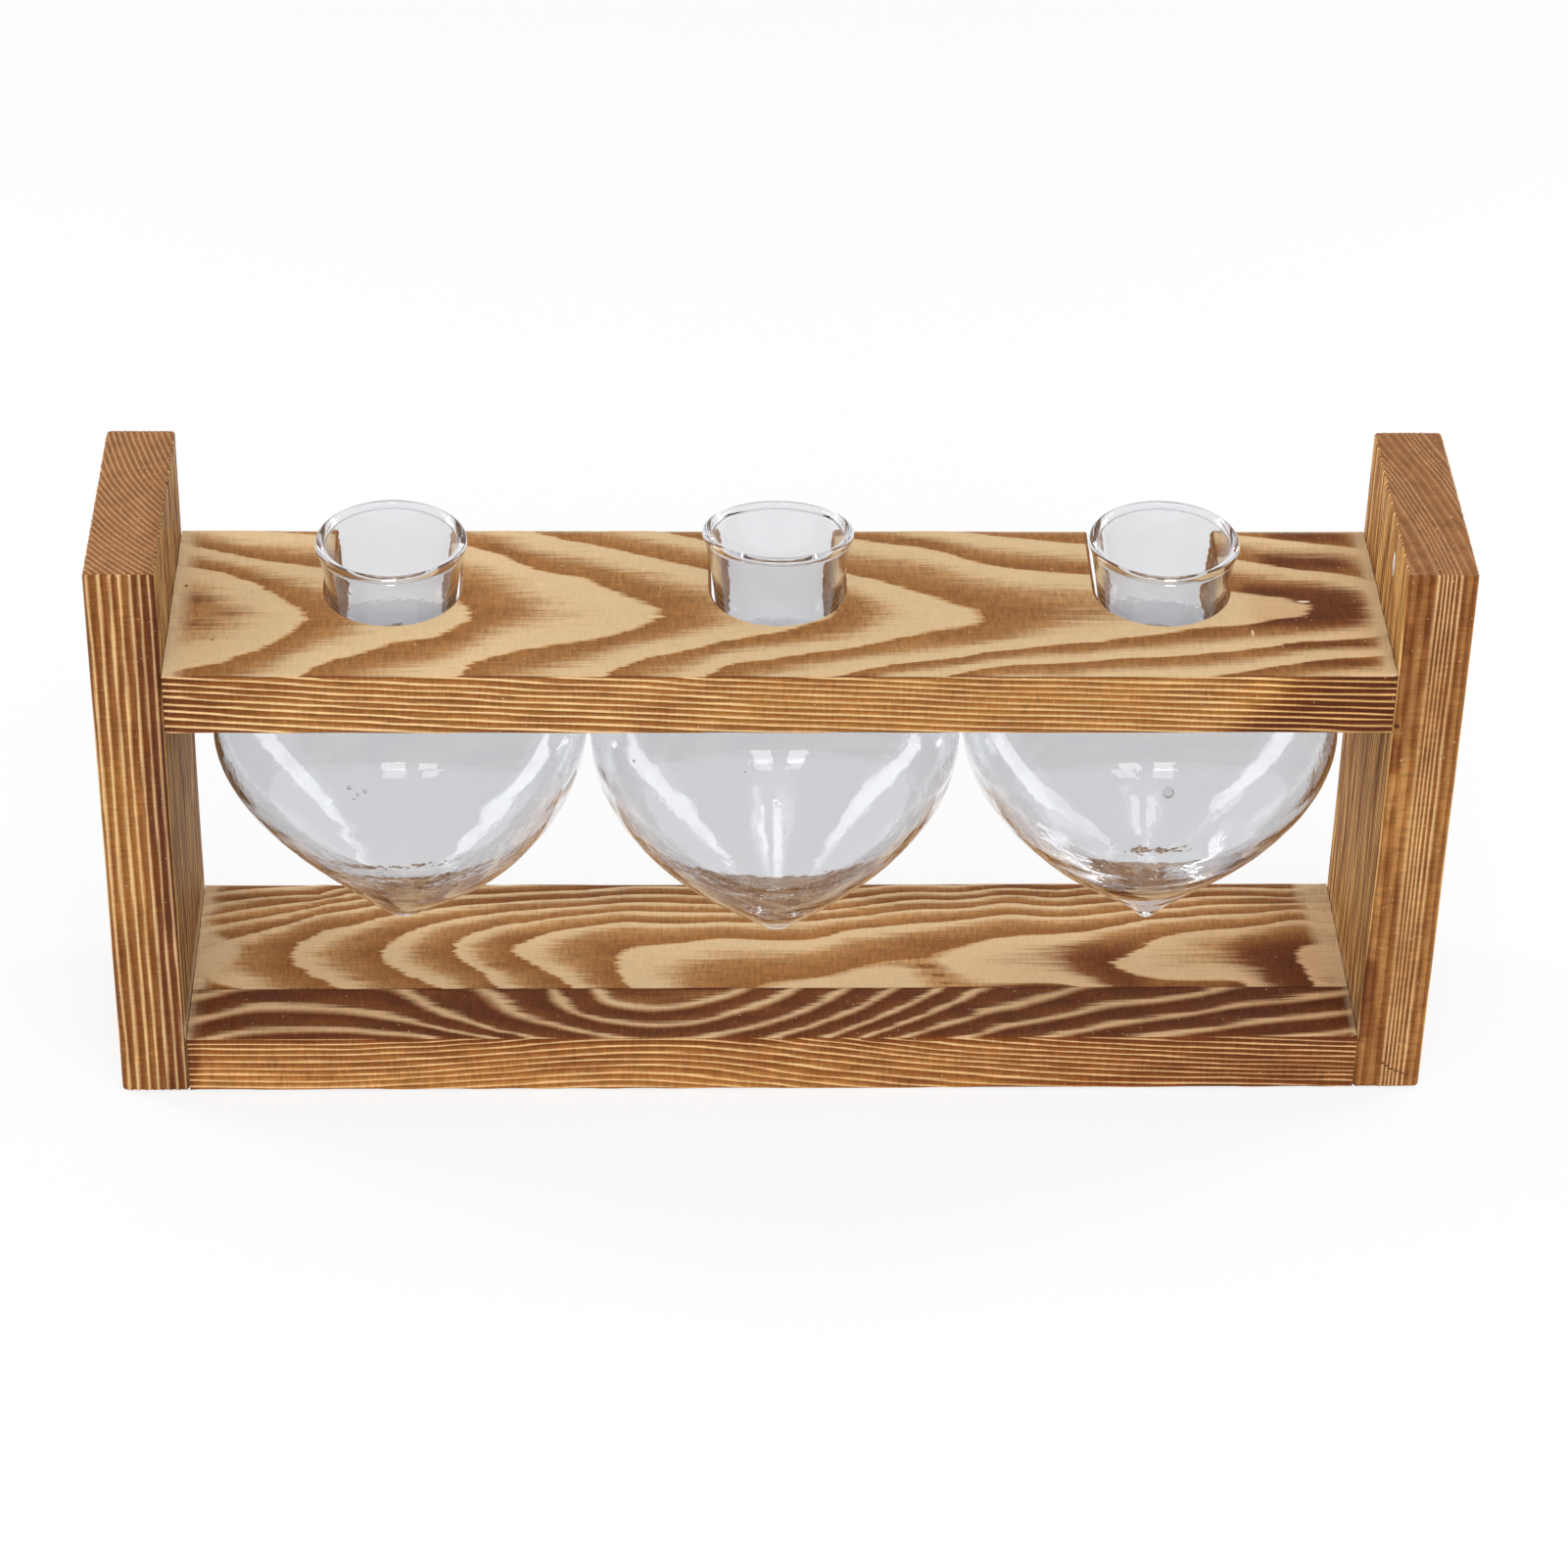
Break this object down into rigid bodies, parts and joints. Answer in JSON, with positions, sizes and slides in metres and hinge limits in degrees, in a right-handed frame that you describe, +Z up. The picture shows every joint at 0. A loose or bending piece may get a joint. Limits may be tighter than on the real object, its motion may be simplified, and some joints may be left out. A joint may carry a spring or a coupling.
{
  "type": "tabletop vase",
  "caption": "Wooden stand with a slotted shelf that holds clear glass bulb vases by their flared necks; each vase slides out to the rear.",
  "frame": {"origin": "on the stand's underside, below the axis of the middle slot's round end", "axes": "+Z up, +X to the right along the row of vases, -Y to the front, +Y the way the vases slide out"},
  "size_m": [0.33, 0.0969, 0.156],
  "materials": {
    "side_wood": "torched, brushed, satin",
    "shelf_wood": "torched, brushed, satin",
    "base_wood": "torched, brushed, satin",
    "strip_wood": "torched, brushed, satin",
    "clear_glass": "clear, polished",
    "screw_steel": "zinc plated"
  },
  "bodies": {
    "stand": {"side_left": "side_wood", "side_right": "side_wood", "shelf": "shelf_wood", "base_rear_plank": "base_wood", "base_front_strip": "strip_wood", "screw_left_shelf_front": "screw_steel", "screw_left_shelf_rear": "screw_steel", "screw_left_base_front": "screw_steel", "screw_left_base_rear": "screw_steel", "screw_right_shelf_front": "screw_steel", "screw_right_shelf_rear": "screw_steel", "screw_right_base_front": "screw_steel", "screw_right_base_rear": "screw_steel"},
    "vase_left": {"vase_left": "clear_glass"},
    "vase_middle": {"vase_middle": "clear_glass"},
    "vase_right": {"vase_right": "clear_glass"}
  },
  "joints": [
    {"name": "vase_left_slide", "type": "slide", "parent": "stand", "child": "vase_left", "axis": [0, 1, 0], "range_m": [0, 0.09]},
    {"name": "vase_middle_slide", "type": "slide", "parent": "stand", "child": "vase_middle", "axis": [0, 1, 0], "range_m": [0, 0.09]},
    {"name": "vase_right_slide", "type": "slide", "parent": "stand", "child": "vase_right", "axis": [0, 1, 0], "range_m": [0, 0.09]}
  ]
}
